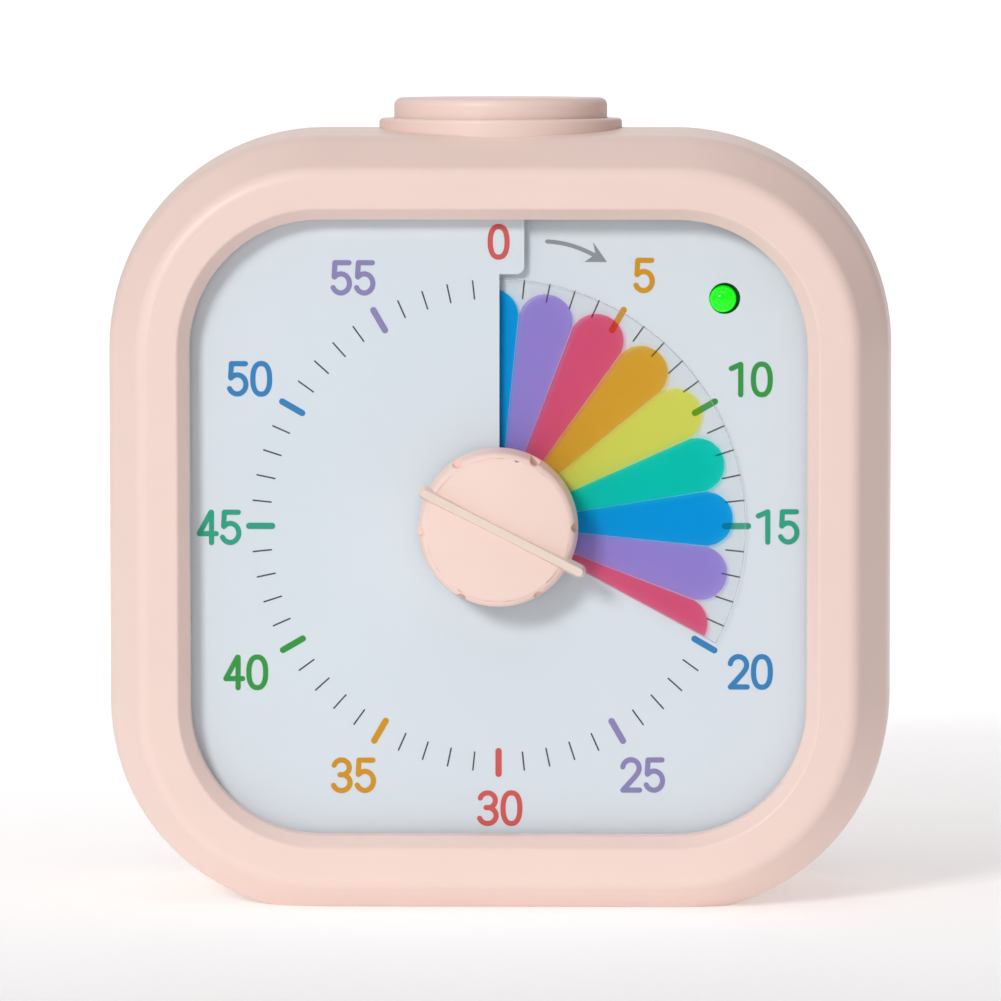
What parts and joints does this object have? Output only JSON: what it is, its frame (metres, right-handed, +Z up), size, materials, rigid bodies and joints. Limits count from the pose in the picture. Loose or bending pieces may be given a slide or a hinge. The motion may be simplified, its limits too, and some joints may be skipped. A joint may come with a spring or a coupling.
{
  "type": "visual countdown timer",
  "caption": "Square desk timer with a numbered dial, a turning knob that draws out a coloured film disc, a push button on top, an indicator light, a geared movement and a battery bay.",
  "frame": {"origin": "middle of the bounding box in X and Y, on the flat underside of the housing", "axes": "+Z up, the dial faces -Y, +X is the right-hand side of someone who looks at the dial"},
  "size_m": [0.0898, 0.0392, 0.0916],
  "materials": {
    "pink_plastic": "fine satin moulded",
    "pink_knob": "fine satin moulded",
    "dial_print": "printed plastic sheet",
    "clear_film": "printed clear film",
    "white_plastic": "plain moulded",
    "natural_plastic": "smooth moulded",
    "dark_plastic": "plain moulded",
    "green_lens": "clear tinted lens",
    "steel": "bright zinc plate",
    "spring_steel": "nickel plate",
    "brass": "machined",
    "magnet": "ground ferrite",
    "copper_wire": "enamelled wire",
    "circuit_green": "solder mask",
    "cell_wrap": "printed sleeve"
  },
  "bodies": {
    "root": {"front_housing": "pink_plastic", "back_cover": "pink_plastic", "button_collar": "pink_plastic", "dial_sheet": "dial_print", "dial_carrier": "white_plastic", "movement_base": "white_plastic", "movement_cover": "white_plastic", "stator": "steel", "coil_core": "steel", "coil_bobbin": "natural_plastic", "coil_winding": "copper_wire", "status_led": "green_lens", "main_board": "circuit_green", "main_chip": "dark_plastic", "clock_crystal": "steel", "sounder": "dark_plastic", "button_board": "circuit_green", "tact_switch": "dark_plastic", "slide_switch": "dark_plastic", "case_screws": "steel", "carrier_screws": "steel", "movement_screws": "steel", "board_screws": "steel", "button_screws": "steel", "batteries": "cell_wrap", "battery_contacts": "spring_steel", "contact_springs": "spring_steel", "button_spring": "spring_steel"},
    "knob": {"knob": "pink_knob", "pointer_bar": "pink_knob", "centre_arbor": "brass", "centre_wheel": "natural_plastic", "clutch_washer": "spring_steel", "arbor_clip": "spring_steel"},
    "disc": {"time_disc": "clear_film", "disc_hub": "natural_plastic"},
    "intermediate": {"intermediate_wheel": "natural_plastic", "intermediate_arbor": "steel"},
    "rotor": {"rotor_magnet": "magnet", "rotor_pinion": "natural_plastic"},
    "button": {"button_cap": "pink_plastic"},
    "plunger": {"tact_plunger": "white_plastic"},
    "slider": {"volume_slider": "white_plastic"},
    "door": {"battery_door": "pink_plastic"}
  },
  "joints": [
    {"name": "knob_turn", "type": "hinge", "parent": "root", "child": "knob", "pos_m": [0, 0, 0.0434], "axis": [0, 1, 0], "range_deg": [-118.4, 241.6]},
    {"name": "disc_rise", "type": "slide", "parent": "knob", "child": "disc", "axis": [0, -1, 0], "range_m": [-0.00039, 0.00081]},
    {"name": "intermediate_spin", "type": "hinge", "parent": "root", "child": "intermediate", "pos_m": [-0.00803, 0, 0.03778], "axis": [0, 1, 0], "range_deg": [-1450, 711]},
    {"name": "rotor_spin", "type": "hinge", "parent": "root", "child": "rotor", "pos_m": [-0.01461, 0, 0.03538], "axis": [0, 1, 0], "range_deg": [-4264, 8700]},
    {"name": "button_press", "type": "slide", "parent": "root", "child": "button", "axis": [0, 0, -1], "range_m": [0, 0.0008], "stiffness_N_per_m": 1200, "springref_m": -0.0004, "deforming": ["button_spring"]},
    {"name": "plunger_press", "type": "slide", "parent": "root", "child": "plunger", "axis": [0, 0, -1], "range_m": [0, 0.0004]},
    {"name": "volume_slide", "type": "slide", "parent": "root", "child": "slider", "axis": [1, 0, 0], "range_m": [-0.002, 0.002]},
    {"name": "door_off", "type": "slide", "parent": "root", "child": "door", "axis": [0, 1, 0], "range_m": [0, 0.025]}
  ],
  "couplings": [
    {"joint": "disc_rise", "follows": "knob_turn", "m_per_rad": 0.00019099},
    {"joint": "intermediate_spin", "follows": "knob_turn", "ratio": -6},
    {"joint": "rotor_spin", "follows": "knob_turn", "ratio": 36},
    {"joint": "plunger_press", "follows": "button_press", "ratio": 0.5}
  ]
}
